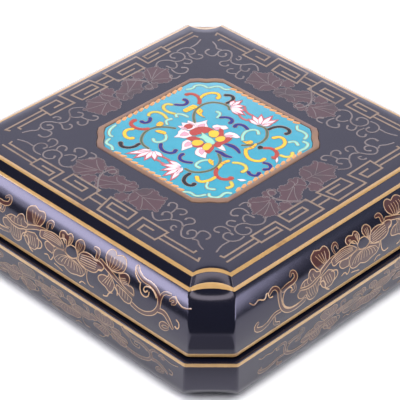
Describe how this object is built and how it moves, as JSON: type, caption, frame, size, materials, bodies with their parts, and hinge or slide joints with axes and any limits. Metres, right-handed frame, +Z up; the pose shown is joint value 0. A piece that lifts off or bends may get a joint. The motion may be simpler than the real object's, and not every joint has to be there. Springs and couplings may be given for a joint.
{
  "type": "lacquer box with cloisonne enamel panel",
  "caption": "Low square black lacquer box with a lift-off lid, notched corners, gold-painted lines and scrolls, and an inlaid cloisonne enamel panel.",
  "frame": {"origin": "middle of the underside", "axes": "+Z up through the middle of the lid, sides facing +X, +Y, -X and -Y"},
  "size_m": [0.178, 0.178, 0.0516],
  "materials": {
    "black_lacquer": "gloss black lacquer on wood, painted in dull gold and brown",
    "gilt_metal": "worn gilt",
    "enamel": "glossy cloisonne enamel on copper, turquoise ground"
  },
  "bodies": {
    "root": {"base": "black_lacquer", "lid": "black_lacquer", "panel_rim": "gilt_metal", "enamel_panel": "enamel"}
  },
  "joints": []
}
